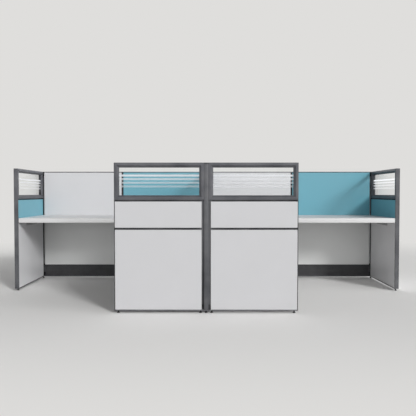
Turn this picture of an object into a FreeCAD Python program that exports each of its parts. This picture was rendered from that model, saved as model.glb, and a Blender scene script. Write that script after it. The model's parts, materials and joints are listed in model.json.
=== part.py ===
import FreeCAD, Part
import math
import os
from FreeCAD import Vector

# Cubicle workstation with two L-shaped seats, in millimetres.
# X runs along the back wall, Y from the front screens to the back wall, Z up.
# The origin is on the floor, under the middle of the whole object.
# A panel is drawn lying along its own X axis (u), its thickness across Y (v),
# and is then stood in its place. The left side is the mirror of the right.

# Plan of the workstation
overall_width = 3800.0
overall_depth = 1664.0
front_screen_reach = 738.0
wing_length = 726.0
return_depth = 680.0
panel_thickness = 42.0
post_width = 34.0

# Heights, from the floor up
floor_gap = 20.0
trim_height = 9.0
raceway_height = 127.0
lower_tile_height = 643.0
seam_height = 17.0
upper_tile_height = 210.0
window_gap = 11.0
window_height = 300.0
cap_thickness = 8.5
worktop_height = 720.0
worktop_thickness = 45.0

# Panel frames and their covers
tile_thickness = 10.0
tile_edge_radius = 1.5
stile_width = 30.0
rail_height = 40.0
raceway_rail_height = 20.0
tube_wall = 2.0
post_wall = 3.0
post_plug_height = 45.0
end_cover_thickness = 6.0
post_reveal = 20.0
seam_reveal = 11.0
corner_reveal = 12.0
trim_edge_radius = 2.0

# Glazed window units
bar_width = 39.0
band_width = 24.0
bar_wall = 2.0
bar_edge_radius = 2.5
bead_step = 3.5
bead_slope = 6.0
groove_depth = 12.0
glass_thickness = 6.0
seal_wall = 1.5
seal_base = 3.0
band_film = 0.3
band_height = 16.0
band_pitch = 29.0
band_drop = 95.0
band_count = 4

# Worktops and what carries them
worktop_gap = 2.0
worktop_edge_radius = 3.0
bracket_height = 150.0
bracket_tip_height = 30.0
bracket_web = 4.0
bracket_flange = 40.0
bracket_plate_width = 16.0
bracket_plate = 3.0
bracket_length_share = 0.6
bracket_screw_shares = (0.2, 0.55, 0.9)
cleat_length = 300.0
cleat_leg = 40.0
cleat_wall = 3.0
cleat_screw_share = 0.35
joining_plate_width = 60.0
joining_plate_length = 80.0
joining_plate_wall = 4.0
joining_plate_gap = 20.0
joining_screw_share = 0.25

# Fasteners
screw_radius = 2.5
screw_length = 24.0
screw_head_radius = 5.0
screw_head_height = 2.5
screw_tip_gap = 1.0
bolt_radius = 4.0
bolt_head_radius = 7.0
bolt_head_height = 5.0
nut_radius = 7.5
nut_height = 6.0
thread_end = 2.0
bolt_level_low = 216.0
bolt_level_high = 789.0
cross_bolt_rise = 36.0
window_bolt_shares = (0.2, 0.8)
hole_clearance = 0.3

# Levelling feet
foot_inset = 28.0
foot_pad_radius = 11.0
foot_pad_height = 7.0
foot_pad_bevel = 1.5
foot_collar_radius = 8.0
foot_collar_height = 4.0
stud_radius = 5.0
stud_reach = 35.0
stud_tip = 1.0
fit_clearance = 0.05
socket_wall = 2.0
socket_height = 45.0
socket_flange_radius = 10.0
socket_flange_height = 2.0

# Raceway at the foot of the back wall
cover_wall = 2.5
cover_top_gap = 2.0
cover_barrel_radius = 3.0
cover_flange_gap = 0.3
cover_groove_height = 5.0
cover_groove_depth = 1.0
cover_groove_shares = (0.25, 0.5, 0.75)
hinge_gap = 0.5
pintle_radius = 1.5
pintle_length = 14.0
ear_thickness = 3.0
tray_wall = 1.5

# One overrun for every cutting tool
overrun = 5.0

# Turns about the vertical axis, in degrees
quarter_turn_angle = 90.0
half_turn_angle = 180.0

# Levels that follow from the heights
base = floor_gap + trim_height
lower_top = base + lower_tile_height
upper_bottom = lower_top + seam_height
upper_top = upper_bottom + upper_tile_height
window_bottom = upper_top + window_gap
overall_height = window_bottom + window_height
wall_top = overall_height - cap_thickness
raceway_top = base + raceway_height
worktop_bottom = worktop_height - worktop_thickness

# Places in plan that follow from the sizes
half_width = overall_width / 2
half_panel = panel_thickness / 2
half_frame = half_panel - tile_thickness
post_half = post_width / 2
front_y = -overall_depth / 2
screen_back = front_y + panel_thickness
wall_face = overall_depth / 2 - panel_thickness
wing_face = half_width - panel_thickness
bay_width = (half_width - post_half) / 2
seam_x = post_half + bay_width
screen_width = front_screen_reach - post_half
spine_width = (wall_face - screen_back) / 2
spine_middle = (wall_face + screen_back) / 2
worktop_front = wall_face - wing_length
bracket_length = return_depth * bracket_length_share


# Basic shapes and moves

def block(u0, u1, v0, v1, z0, z1):
    """A box between two corners."""
    return Part.makeBox(u1 - u0, v1 - v0, z1 - z0, Vector(u0, v0, z0))


def tube_along(u0, u1, z0, z1, wall):
    """A rectangular tube lying along a panel, in the middle of its thickness."""
    outside = block(u0, u1, -half_frame, half_frame, z0, z1)
    inside = block(u0 - overrun, u1 + overrun, wall - half_frame, half_frame - wall, z0 + wall, z1 - wall)
    return outside.cut(inside)


def tube_upright(u0, u1, depth, z0, z1, wall):
    """A rectangular tube standing up, its depth centred on the panel."""
    outside = block(u0, u1, -depth, depth, z0, z1)
    inside = block(u0 + wall, u1 - wall, wall - depth, depth - wall, z0 - overrun, z1 + overrun)
    return outside.cut(inside)


def placed(shapes, x, y, turn):
    """Copies of the shapes, turned about Z and moved in plan."""
    stood = []
    for shape in shapes:
        copy = shape.copy()
        copy.rotate(Vector(0, 0, 0), Vector(0, 0, 1), turn)
        copy.translate(Vector(x, y, 0))
        stood.append(copy)
    return stood


def mirrored(shapes):
    """The left-hand copies of right-hand shapes."""
    return [shape.mirror(Vector(0, 0, 0), Vector(1, 0, 0)) for shape in shapes]


def both_sides(shapes):
    """Right-hand shapes and their left-hand copies."""
    return shapes + mirrored(shapes)


def drilled(shapes, tools):
    """The shapes with every tool that reaches them cut away."""
    cut = []
    for shape in shapes:
        near = [tool for tool in tools if shape.BoundBox.intersect(tool.BoundBox)]
        cut.append(shape.cut(Part.makeCompound(near)) if near else shape)
    return cut


def rounded_face(points, radii):
    """A flat face through the points, each corner rounded by its radius."""
    arcs = []
    ends = []
    for i, here in enumerate(points):
        back = (points[i - 1] - here).normalize()
        ahead = (points[(i + 1) % len(points)] - here).normalize()
        half_angle = back.getAngle(ahead) / 2
        reach = radii[i] / math.tan(half_angle)
        start = here + back * reach
        end = here + ahead * reach
        if radii[i]:
            bisector = (back + ahead).normalize()
            middle = here + bisector * (radii[i] / math.sin(half_angle) - radii[i])
            arcs.append(Part.Arc(start, middle, end).toShape())
        ends.append((start, end))
    lines = []
    for i, (start, end) in enumerate(ends):
        lines.append(Part.makeLine(end, ends[(i + 1) % len(ends)][0]))
    return Part.Face(Part.Wire(Part.__sortEdges__(arcs + lines)))


def hexagon(radius, height):
    """A six-sided prism standing on the origin."""
    corners = [Vector(radius * math.cos(math.radians(60 * i)), radius * math.sin(math.radians(60 * i)), 0)
               for i in range(7)]
    return Part.Face(Part.makePolygon(corners)).extrude(Vector(0, 0, height))


def pointed(shape, seat, direction):
    """A shape drawn along Z from the origin, laid along a direction from a seat."""
    shape.rotate(Vector(0, 0, 0), *turn_from_z(direction))
    shape.translate(seat)
    return shape


def turn_from_z(direction):
    """The axis and angle that carry the Z axis onto a direction."""
    up = Vector(0, 0, 1)
    axis = up.cross(direction)
    if axis.Length:
        return axis, math.degrees(up.getAngle(direction))
    return Vector(1, 0, 0), math.degrees(up.getAngle(direction))


def save(name, shapes):
    """Writes one node, each of its pieces a separate solid."""
    solids = [solid for shape in shapes for solid in shape.Solids]
    node = solids[0] if len(solids) == 1 else Part.makeCompound(solids)
    node.exportStep("parts/%s.step" % name)


# Fasteners

def screw(seat, direction, length):
    """A pan-head screw whose head bears on the seat."""
    shank = Part.makeCylinder(screw_radius, length)
    head = Part.makeCylinder(screw_head_radius, screw_head_height, Vector(0, 0, -screw_head_height))
    head = head.makeChamfer(screw_head_height / 2, [head.Edges[2]])
    return pointed(shank.fuse(head).removeSplitter(), seat, direction)


def screw_hole(seat, direction, length):
    """The clearance hole for a screw, from its seat."""
    return pointed(Part.makeCylinder(screw_radius + hole_clearance, length + screw_tip_gap), seat, direction)


def bolt_and_nut(seat, direction, grip):
    """A hexagon bolt through a grip, with its nut on the far side."""
    shank = Part.makeCylinder(bolt_radius, grip + nut_height + thread_end)
    head = hexagon(bolt_head_radius, bolt_head_height)
    head.translate(Vector(0, 0, -bolt_head_height))
    nut = hexagon(nut_radius, nut_height).cut(Part.makeCylinder(bolt_radius + fit_clearance, nut_height))
    nut.translate(Vector(0, 0, grip))
    return [pointed(shank.fuse(head), seat, direction), pointed(nut, seat, direction)]


def bolt_hole(seat, direction, grip):
    """The clearance hole for a bolt, from its seat to just past the grip."""
    return pointed(Part.makeCylinder(bolt_radius + hole_clearance, grip), seat, direction)


# Panels: frame, tiles and end cover

def foot_hole(u):
    """The hole that a foot's threaded socket sits in."""
    return Part.makeCylinder(socket_wall + stud_radius + fit_clearance + hole_clearance,
                             socket_height + overrun, Vector(u, 0, floor_gap - overrun))


def panel_frame(width, top, feet, raceway):
    """A welded panel frame of tubes on its base trim, drilled for its feet."""
    stile_bottom = base + rail_height
    seam_middle = (lower_top + upper_bottom) / 2
    inner_end = width - stile_width
    trim = block(0, width, -half_panel, half_panel, floor_gap, base)
    hollow = block(-overrun, width + overrun, tube_wall - half_panel, half_panel - tube_wall,
                   floor_gap + tube_wall, base - tube_wall)
    pieces = [trim.cut(hollow)]
    pieces.append(tube_along(0, width, base, stile_bottom, tube_wall))
    pieces.append(tube_upright(0, stile_width, half_frame, stile_bottom, top, tube_wall))
    pieces.append(tube_upright(inner_end, width, half_frame, stile_bottom, top, tube_wall))
    pieces.append(tube_along(stile_width, inner_end, seam_middle - rail_height / 2,
                             seam_middle + rail_height / 2, tube_wall))
    pieces.append(tube_along(stile_width, inner_end, top - rail_height, top, tube_wall))
    if raceway:
        pieces.append(tube_along(stile_width, inner_end, raceway_top - raceway_rail_height / 2,
                                 raceway_top + raceway_rail_height / 2, tube_wall))
    return drilled(pieces, [foot_hole(u) for u in feet])


def tile(u0, u1, z0, z1, side):
    """One flat tile on a face of a panel; side is -1 for the v-minus face."""
    slab = block(u0, u1, half_frame, half_panel, z0, z1)
    face_edges = [edge for edge in slab.Edges if edge.BoundBox.YMin > half_panel - tile_edge_radius]
    slab = slab.makeFillet(tile_edge_radius, face_edges)
    return slab if side > 0 else slab.mirror(Vector(0, 0, 0), Vector(0, 1, 0))


def end_cover(u, top):
    """The flat strip that closes the free end of a panel."""
    strip = block(u - end_cover_thickness, u, -half_panel, half_panel, floor_gap, top)
    return strip.makeFillet(trim_edge_radius, [edge for edge in strip.Edges
                                               if edge.BoundBox.XMin > u - trim_edge_radius
                                               and edge.BoundBox.ZLength > cap_thickness])


# Window units

def window_bar(length):
    """A mitred bar along u, its outer edge at z = 0 and its bead towards the glass."""
    bead_back = half_panel - bead_step
    bead_lip = bead_back - bead_slope
    points = [Vector(0, -half_panel, 0), Vector(0, half_panel, 0), Vector(0, half_panel, band_width),
              Vector(0, bead_back, band_width), Vector(0, bead_lip, bar_width),
              Vector(0, -bead_lip, bar_width), Vector(0, -bead_back, band_width),
              Vector(0, -half_panel, band_width)]
    corner = bar_edge_radius
    small = bar_edge_radius / 2
    bar = rounded_face(points, [corner, corner, small, 0, small, small, 0, small]).extrude(Vector(length, 0, 0))
    hollow = block(-overrun, length + overrun, bar_wall - half_panel, half_panel - bar_wall,
                   bar_wall, band_width - bar_wall)
    half_groove = glass_thickness / 2 + seal_wall
    groove = block(-overrun, length + overrun, -half_groove, half_groove,
                   bar_width - groove_depth, bar_width + overrun)
    trim_line = [Vector(0, -panel_thickness, 0), Vector(length, -panel_thickness, 0),
                 Vector(length - bar_width, -panel_thickness, bar_width),
                 Vector(bar_width, -panel_thickness, bar_width), Vector(0, -panel_thickness, 0)]
    mitre = Part.Face(Part.makePolygon(trim_line)).extrude(Vector(0, 2 * panel_thickness, 0))
    return bar.cut(hollow).cut(groove).common(mitre)


def window_frame(width):
    """Four mitred bars round a window as wide as its panel."""
    sides = ((0, 0, width, 0), (width, 0, window_height, 90),
             (width, window_height, width, 180), (0, window_height, window_height, 270))
    bars = []
    for u, z, length, turn in sides:
        bar = window_bar(length)
        bar.rotate(Vector(0, 0, 0), Vector(0, -1, 0), turn)
        bar.translate(Vector(u, 0, window_bottom + z))
        bars.append(bar)
    return bars


def window_glass(width):
    """The pane, held by its edges in the bars' grooves."""
    edge = bar_width - groove_depth + seal_base
    return [block(edge, width - edge, -glass_thickness / 2, glass_thickness / 2,
                  window_bottom + edge, overall_height - edge)]


def window_seal(width):
    """The U-shaped rubber strip round the pane's edge."""
    outer = bar_width - groove_depth
    half_seal = glass_thickness / 2 + seal_wall
    ring = block(outer, width - outer, -half_seal, half_seal, window_bottom + outer, overall_height - outer)
    hole = block(bar_width, width - bar_width, -half_panel, half_panel,
                 window_bottom + bar_width, overall_height - bar_width)
    return [ring.cut(hole).cut(window_glass(width)[0])]


def window_bands(width, side):
    """Level frosted bands of film on one face of the pane."""
    bands = []
    for i in range(band_count):
        top = overall_height - band_drop - i * band_pitch
        inner, outer = sorted((side * glass_thickness / 2, side * (glass_thickness / 2 + band_film)))
        bands.append(block(bar_width, width - bar_width, inner, outer, top - band_height, top))
    return bands


# Feet

def foot(x, y):
    """A levelling foot: round pad, spanner collar and threaded stud."""
    pad = Part.makeCylinder(foot_pad_radius, foot_pad_height)
    pad = pad.makeChamfer(foot_pad_bevel, [edge for edge in pad.Edges if edge.BoundBox.ZMin > foot_pad_bevel])
    collar = hexagon(foot_collar_radius, foot_collar_height)
    collar.translate(Vector(0, 0, foot_pad_height))
    stud_foot = foot_pad_height + foot_collar_height
    stud = Part.makeCylinder(stud_radius, floor_gap + stud_reach - stud_foot, Vector(0, 0, stud_foot))
    stud = stud.makeChamfer(stud_tip, [edge for edge in stud.Edges if edge.BoundBox.ZMin > floor_gap])
    shape = pad.fuse(collar).fuse(stud)
    shape.translate(Vector(x, y, 0))
    return shape


def foot_socket(x, y):
    """The threaded socket that a foot's stud turns in."""
    body = Part.makeCylinder(stud_radius + fit_clearance + socket_wall, socket_height, Vector(0, 0, floor_gap))
    flange = Part.makeCylinder(socket_flange_radius, socket_flange_height,
                               Vector(0, 0, floor_gap - socket_flange_height))
    bore = Part.makeCylinder(stud_radius + fit_clearance, socket_height + 2 * overrun,
                             Vector(0, 0, floor_gap - overrun))
    socket = body.fuse(flange).cut(bore)
    socket.translate(Vector(x, y, 0))
    return socket


# Posts

def post(cross_side):
    """A square post with its foot plug; cross_side is the face the spine bolts to."""
    tube = tube_upright(-post_half, post_half, half_panel, floor_gap, wall_top, post_wall)
    plug = block(post_wall - post_half, post_half - post_wall, post_wall - half_panel,
                 half_panel - post_wall, floor_gap, floor_gap + post_plug_height)
    holes = [foot_hole(0)]
    for level in (bolt_level_low, bolt_level_high):
        holes.append(bolt_hole(Vector(-post_half - overrun, 0, level), Vector(1, 0, 0),
                               post_width + 2 * overrun))
        holes.append(bolt_hole(Vector(0, 0, level + cross_bolt_rise), Vector(0, cross_side, 0),
                               panel_thickness))
    return drilled([tube, plug], holes)


# Raceway

def raceway_cover(u0, u1):
    """A ribbed cover that drops open on pintles along its lower edge."""
    outer = -half_panel
    centre_v = outer + cover_barrel_radius
    centre_z = base + hinge_gap + cover_barrel_radius
    top = raceway_top - cover_top_gap
    plate = block(u0, u1, outer, outer + cover_wall, centre_z, top)
    flange = block(u0, u1, outer, -half_frame - cover_flange_gap, top - cover_wall, top)
    barrel = Part.makeCylinder(cover_barrel_radius, u1 - u0, Vector(u0, centre_v, centre_z), Vector(1, 0, 0))
    bore = Part.makeCylinder(pintle_radius + fit_clearance, u1 - u0 + 2 * overrun,
                             Vector(u0 - overrun, centre_v, centre_z), Vector(1, 0, 0))
    cover = plate.fuse(flange).fuse(barrel).cut(bore)
    for share in cover_groove_shares:
        level = centre_z + share * (top - centre_z)
        cover = cover.cut(block(u0 - overrun, u1 + overrun, outer - overrun, outer + cover_groove_depth,
                                level - cover_groove_height / 2, level + cover_groove_height / 2))
    return cover.removeSplitter()


def raceway_tray(width, u0, u1):
    """The three plates of the cable tray in a frame's foot, and the two ears that carry the cover."""
    low = base + rail_height
    high = raceway_top - raceway_rail_height / 2
    pieces = [block(stile_width, width - stile_width, -half_frame, half_frame, low, low + tray_wall),
              block(stile_width, width - stile_width, -half_frame, half_frame, high - tray_wall, high),
              block(stile_width, width - stile_width, half_frame - tray_wall, half_frame,
                    low + tray_wall, high - tray_wall)]
    centre_v = cover_barrel_radius - half_panel
    centre_z = base + hinge_gap + cover_barrel_radius
    for start, inward in ((u0, 1), (u1, -1)):
        near, far = sorted((start, start + inward * ear_thickness))
        ear = block(near, far, -half_panel, -half_frame, base, centre_z + cover_barrel_radius)
        pintle = Part.makeCylinder(pintle_radius, pintle_length,
                                   Vector(start + inward * ear_thickness, centre_v, centre_z),
                                   Vector(inward, 0, 0))
        pieces.append(ear.fuse(pintle))
    return pieces


# Worktops and what carries them

def worktop(x0, x1, y0, y1, holes):
    """A worktop slab with softened edges, drilled from below."""
    slab = block(x0, x1, y0, y1, worktop_bottom, worktop_height)
    return drilled([slab.makeFillet(worktop_edge_radius, slab.Edges)], holes)


def cantilever_bracket():
    """A tapered bracket that stands out along v from the frame's face."""
    low = worktop_bottom - bracket_height
    profile = [Vector(0, 0, low), Vector(0, 0, worktop_bottom), Vector(0, bracket_length, worktop_bottom),
               Vector(0, bracket_length, worktop_bottom - bracket_tip_height), Vector(0, 0, low)]
    web = Part.Face(Part.makePolygon(profile)).extrude(Vector(bracket_web, 0, 0))
    web.translate(Vector(-bracket_web / 2, 0, 0))
    flange = block(-bracket_flange / 2, bracket_flange / 2, tile_thickness + worktop_gap, bracket_length,
                   worktop_bottom - bracket_web, worktop_bottom)
    plate = block(-bracket_plate_width / 2, bracket_plate_width / 2, 0, bracket_plate, low, worktop_bottom)
    return web.fuse(flange).fuse(plate).removeSplitter()


def bracket_seats():
    """Where a bracket's screws bear, either side of its web in turn."""
    seats = []
    for i, share in enumerate(bracket_screw_shares):
        across = bracket_flange / 4 * (1 if i % 2 else -1)
        seats.append(Vector(across, share * bracket_length, worktop_bottom - bracket_web))
    return seats


def cleat():
    """An angle cleat along u, its upright leg against a tile at v = 0."""
    leg = block(-cleat_length / 2, cleat_length / 2, 0, cleat_wall, worktop_bottom - cleat_leg, worktop_bottom)
    shelf = block(-cleat_length / 2, cleat_length / 2, 0, cleat_leg, worktop_bottom - cleat_wall, worktop_bottom)
    return leg.fuse(shelf).removeSplitter()


def cleat_seats(upward):
    """Where a cleat's two screws bear, up into the worktop or back into the tile."""
    seats = []
    for side in (-1, 1):
        along = side * cleat_screw_share * cleat_length
        if upward:
            seats.append(Vector(along, cleat_leg / 2 + cleat_wall, worktop_bottom - cleat_wall))
        else:
            seats.append(Vector(along, cleat_wall, worktop_bottom - cleat_leg / 2))
    return seats


def seat_places(seats, x, y, turn):
    """Seats drawn at a carrier's origin, moved with the carrier."""
    moved = placed([Part.Vertex(seat) for seat in seats], x, y, turn)
    return [vertex.Point for vertex in moved]


def joining_plate(x):
    """A flat plate under the joint between a main worktop and its return."""
    return block(x - joining_plate_width / 2, x + joining_plate_width / 2,
                 worktop_front - joining_plate_length / 2, worktop_front + joining_plate_length / 2,
                 worktop_bottom - joining_plate_wall, worktop_bottom)


# Build

os.makedirs("parts", exist_ok=True)

# Carriers on the right-hand side: x, y and turn of each
wall_frame_face = wall_face + tile_thickness
bracket_places = ((seam_x, wall_frame_face, half_turn_angle), (half_frame, spine_middle, -quarter_turn_angle))
wing_middle = wall_face - wing_length / 2
cleat_places = ((wing_face, wing_middle, quarter_turn_angle), (half_panel, wing_middle, -quarter_turn_angle),
                (half_panel + return_depth / 2, screen_back, 0))
plate_xs = (half_frame + bracket_length + joining_plate_gap + joining_plate_width / 2,
            half_panel + return_depth - joining_plate_gap - joining_plate_width / 2)

# Screws that go up into the worktops, as seats
up_seats = []
for x, y, turn in bracket_places:
    up_seats += seat_places(bracket_seats(), x, y, turn)
for x, y, turn in cleat_places:
    up_seats += seat_places(cleat_seats(True), x, y, turn)
for x in plate_xs:
    for side in (-1, 1):
        up_seats.append(Vector(x, worktop_front + side * joining_screw_share * joining_plate_length,
                               worktop_bottom - joining_plate_wall))

# Screws that go back from a cleat into a tile, as seat and direction
back_seats = []
for x, y, turn in cleat_places:
    back = Vector(math.sin(math.radians(turn)), -math.cos(math.radians(turn)), 0)
    back_seats += [(seat, back) for seat in seat_places(cleat_seats(False), x, y, turn)]

back_screw_length = cleat_wall + tile_thickness - 2 * screw_tip_gap
up = Vector(0, 0, 1)
screws = [screw(seat, up, screw_length) for seat in up_seats]
screws += [screw(seat, back, back_screw_length) for seat, back in back_seats]
up_holes = both_sides([screw_hole(seat, up, screw_length) for seat in up_seats])
back_holes = both_sides([screw_hole(seat, back, back_screw_length) for seat, back in back_seats])
carrier_holes = up_holes + back_holes

# Bolts that join the panels, as seat, direction and grip
levels = (bolt_level_low, bolt_level_high)
screen_middle_y = front_y + half_panel
wall_middle_y = wall_face + half_panel
wing_middle_x = wing_face + half_panel
right = Vector(1, 0, 0)
rearward = Vector(0, 1, 0)
centre_bolts = []
side_bolts = []
for level in levels:
    cross = level + cross_bolt_rise
    for y in (screen_middle_y, wall_middle_y):
        centre_bolts.append((Vector(-post_half - stile_width, y, level), right, post_width + 2 * stile_width))
    centre_bolts.append((Vector(0, spine_middle - stile_width, level), rearward, 2 * stile_width))
    centre_bolts.append((Vector(0, screen_back + stile_width, cross), -rearward, stile_width + post_wall))
    centre_bolts.append((Vector(0, wall_face - stile_width, cross), rearward, stile_width + post_wall))
    side_bolts.append((Vector(seam_x - stile_width, wall_middle_y, level), right, 2 * stile_width))
    side_bolts.append((Vector(wing_middle_x, wall_face - stile_width, cross), rearward,
                       stile_width + tile_thickness + tube_wall))

# Bolts that hold the window units down on the frames
window_places = []
for share in window_bolt_shares:
    window_places.append((post_half + share * screen_width, screen_middle_y))
    window_places.append((wing_middle_x, wall_face - share * wing_length))
window_grip = rail_height + bar_wall
for x, y in window_places:
    side_bolts.append((Vector(x, y, window_bottom - rail_height), up, window_grip))
for start in (screen_back, spine_middle):
    for share in window_bolt_shares:
        centre_bolts.append((Vector(0, start + share * spine_width, window_bottom - rail_height), up,
                             window_grip))

bolt_holes = [bolt_hole(*bolt) for bolt in centre_bolts]
bolt_holes += both_sides([bolt_hole(*bolt) for bolt in side_bolts])

# Where panels stand: x, y and turn
screen_spot = (post_half, screen_middle_y, 0)
wing_spot = (wing_middle_x, wall_face, -quarter_turn_angle)
spine_spots = ((0, screen_back, quarter_turn_angle), (0, spine_middle, quarter_turn_angle))

# Frames
screen_frame = placed(panel_frame(screen_width - end_cover_thickness, window_bottom,
                                  (foot_inset, screen_width - foot_inset), False),
                      post_half, screen_middle_y, 0)
wing_frame = placed(panel_frame(wing_length - end_cover_thickness, window_bottom,
                                (wing_length - foot_inset,), False),
                    *wing_spot)
spine_front = placed(panel_frame(spine_width, window_bottom, (spine_width - foot_inset,), False),
                     0, screen_back, quarter_turn_angle)
spine_rear = placed(panel_frame(spine_width, window_bottom, (), False), 0, spine_middle, quarter_turn_angle)
inner_bay = placed(panel_frame(bay_width, wall_top, (), True), post_half, wall_middle_y, 0)
outer_bay = placed(panel_frame(bay_width - end_cover_thickness, wall_top,
                               (foot_inset, bay_width - foot_inset), True),
                   seam_x, wall_middle_y, 0)
save("front_screen_frames", drilled(both_sides(screen_frame), bolt_holes))
save("wing_frames", drilled(both_sides(wing_frame), bolt_holes))
save("spine_frames", drilled(spine_front + spine_rear, bolt_holes))
save("back_wall_frames", drilled(both_sides(inner_bay + outer_bay), bolt_holes))

# Posts, caps, end covers and corner fillers
front_post = placed(post(1), 0, screen_middle_y, 0)
rear_post = placed(post(-1), 0, wall_middle_y, 0)
save("connector_posts", front_post + rear_post)
caps = []
for y in (screen_middle_y, wall_middle_y):
    caps.append(block(-post_half, post_half, y - half_panel, y + half_panel, wall_top, overall_height))
wall_caps = []
for x0, x1 in ((post_half, seam_x), (seam_x, half_width)):
    wall_caps.append(block(x0, x1, wall_face, wall_face + panel_thickness, wall_top, overall_height))
save("top_caps", caps + both_sides(wall_caps))
covers = placed([end_cover(screen_width, window_bottom)], post_half, screen_middle_y, 0)
covers += placed([end_cover(wing_length, window_bottom)], *wing_spot)
covers += placed([end_cover(bay_width, wall_top)], seam_x, wall_middle_y, 0)
fillers = [block(wing_face, half_width - end_cover_thickness, wall_face, wall_frame_face, base, wall_top)]
save("end_covers_and_fillers", both_sides(covers + drilled(fillers, bolt_holes)))

# Tiles of the front screens
tile_end = screen_width - end_cover_thickness
spine_side = half_panel + corner_reveal - post_half
outer_lower = placed([tile(post_reveal, tile_end, base, lower_top, -1)], post_half, screen_middle_y, 0)
outer_upper = placed([tile(post_reveal, tile_end, upper_bottom, upper_top, -1)], post_half, screen_middle_y, 0)
inner_lower = placed([tile(spine_side, tile_end, base, lower_top, 1)], post_half, screen_middle_y, 0)
inner_upper = placed([tile(spine_side, tile_end, upper_bottom, upper_top, 1)], post_half, screen_middle_y, 0)
save("front_right_lower_tile", outer_lower)
save("front_right_upper_tile", outer_upper)
save("front_left_lower_tile", mirrored(outer_lower))
save("front_left_upper_tile", mirrored(outer_upper))
save("front_inner_lower_tiles", drilled(both_sides(inner_lower), back_holes))
save("front_inner_upper_tiles", both_sides(inner_upper))

# Tiles of the wings
wing_end = wing_length - end_cover_thickness
wing_lower = placed([tile(corner_reveal, wing_end, base, lower_top, -1)], *wing_spot)
wing_upper = placed([tile(corner_reveal, wing_end, upper_bottom, upper_top, -1)], *wing_spot)
wing_outer = placed([tile(corner_reveal, wing_end, base, lower_top, 1),
                     tile(corner_reveal, wing_end, upper_bottom, upper_top, 1)], *wing_spot)
save("right_wing_upper_tile", wing_upper)
save("left_wing_upper_tile", mirrored(wing_upper))
save("wing_lower_tiles", drilled(both_sides(wing_lower), back_holes))
save("wing_outer_tiles", both_sides(wing_outer))

# Tiles of the spine
spine_tiles = []
for start, u0, u1 in ((screen_back, corner_reveal, spine_width - seam_reveal),
                      (spine_middle, seam_reveal, spine_width - corner_reveal)):
    for z0, z1 in ((base, lower_top), (upper_bottom, upper_top)):
        spine_tiles += placed([tile(u0, u1, z0, z1, -1)], 0, start, quarter_turn_angle)
save("spine_tiles", drilled(both_sides(spine_tiles), back_holes))

# Tiles of the back wall
corner_end = wing_face - corner_reveal - seam_x
inner_tile = placed([tile(spine_side, bay_width - seam_reveal, upper_bottom, wall_top, -1)],
                    post_half, wall_middle_y, 0)
outer_tile = placed([tile(seam_reveal, corner_end, upper_bottom, wall_top, -1)], seam_x, wall_middle_y, 0)
save("back_inner_right_tile", inner_tile)
save("back_outer_right_tile", outer_tile)
save("back_inner_left_tile", mirrored(inner_tile))
save("back_outer_left_tile", mirrored(outer_tile))
lower_tiles = placed([tile(spine_side, bay_width - seam_reveal, raceway_top, lower_top, -1)],
                     post_half, wall_middle_y, 0)
lower_tiles += placed([tile(seam_reveal, corner_end, raceway_top, lower_top, -1)], seam_x, wall_middle_y, 0)
save("back_lower_tiles", both_sides(lower_tiles))
rear_tiles = []
for x, u0, u1 in ((post_half, post_reveal, bay_width - seam_reveal),
                  (seam_x, seam_reveal, bay_width - end_cover_thickness)):
    for z0, z1 in ((base, lower_top), (upper_bottom, wall_top)):
        rear_tiles += placed([tile(u0, u1, z0, z1, 1)], x, wall_middle_y, 0)
save("back_rear_tiles", both_sides(rear_tiles))

# Windows of the front screens, wings and spine
screen_window = drilled(placed(window_frame(screen_width), *screen_spot), bolt_holes)
save("front_right_window_frame", screen_window)
save("front_left_window_frame", mirrored(screen_window))
save("wing_window_frames", drilled(both_sides(placed(window_frame(wing_length), *wing_spot)), bolt_holes))
spine_windows = [bar for spot in spine_spots for bar in placed(window_frame(spine_width), *spot)]
save("spine_window_frames", drilled(spine_windows, bolt_holes))
screen_glass = placed(window_glass(screen_width), *screen_spot)
save("front_right_glass", screen_glass)
save("front_left_glass", mirrored(screen_glass))
side_glass = both_sides(placed(window_glass(wing_length), *wing_spot))
side_seals = both_sides(placed(window_seal(wing_length), *wing_spot))
side_seals += both_sides(placed(window_seal(screen_width), *screen_spot))
bands = both_sides(placed(window_bands(wing_length, -1), *wing_spot))
bands += both_sides(placed(window_bands(screen_width, -1), *screen_spot))
for spot in spine_spots:
    side_glass += placed(window_glass(spine_width), *spot)
    side_seals += placed(window_seal(spine_width), *spot)
    bands += placed(window_bands(spine_width, -1), *spot)
save("wing_and_spine_glass", side_glass)
save("glass_seals", side_seals)
save("frosted_bands", bands)

# Raceway trays and their drop-down covers
trays = []
for name, x, width, u0, u1 in (("inner", post_half, bay_width, spine_side, bay_width - seam_reveal),
                               ("outer", seam_x, bay_width - end_cover_thickness, seam_reveal, corner_end)):
    trays += placed(raceway_tray(width, u0, u1), x, wall_middle_y, 0)
    end_gap = ear_thickness + hinge_gap
    cover = placed([raceway_cover(u0 + end_gap, u1 - end_gap)], x, wall_middle_y, 0)
    save("raceway_cover_%s_right" % name, cover)
    save("raceway_cover_%s_left" % name, mirrored(cover))
save("raceway_trays", both_sides(trays))

# Worktops and what carries them
side_x = half_panel + worktop_gap
main = worktop(side_x, wing_face - worktop_gap, worktop_front, wall_face - worktop_gap, up_holes)
side_return = worktop(side_x, half_panel + return_depth, screen_back + worktop_gap, worktop_front, up_holes)
save("main_worktop_right", main)
save("main_worktop_left", mirrored(main))
save("return_worktop_right", side_return)
save("return_worktop_left", mirrored(side_return))
brackets = [shape for spot in bracket_places for shape in placed([cantilever_bracket()], *spot)]
save("cantilever_brackets", drilled(both_sides(brackets), up_holes))
cleats = [shape for spot in cleat_places for shape in placed([cleat()], *spot)]
cleats += [joining_plate(x) for x in plate_xs]
save("worktop_cleats_and_plates", drilled(both_sides(cleats), carrier_holes))
save("worktop_screws", both_sides(screws))

# Bolts
bolts = [piece for bolt in centre_bolts for piece in bolt_and_nut(*bolt)]
bolts += both_sides([piece for bolt in side_bolts for piece in bolt_and_nut(*bolt)])
save("frame_bolts", bolts)

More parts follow.
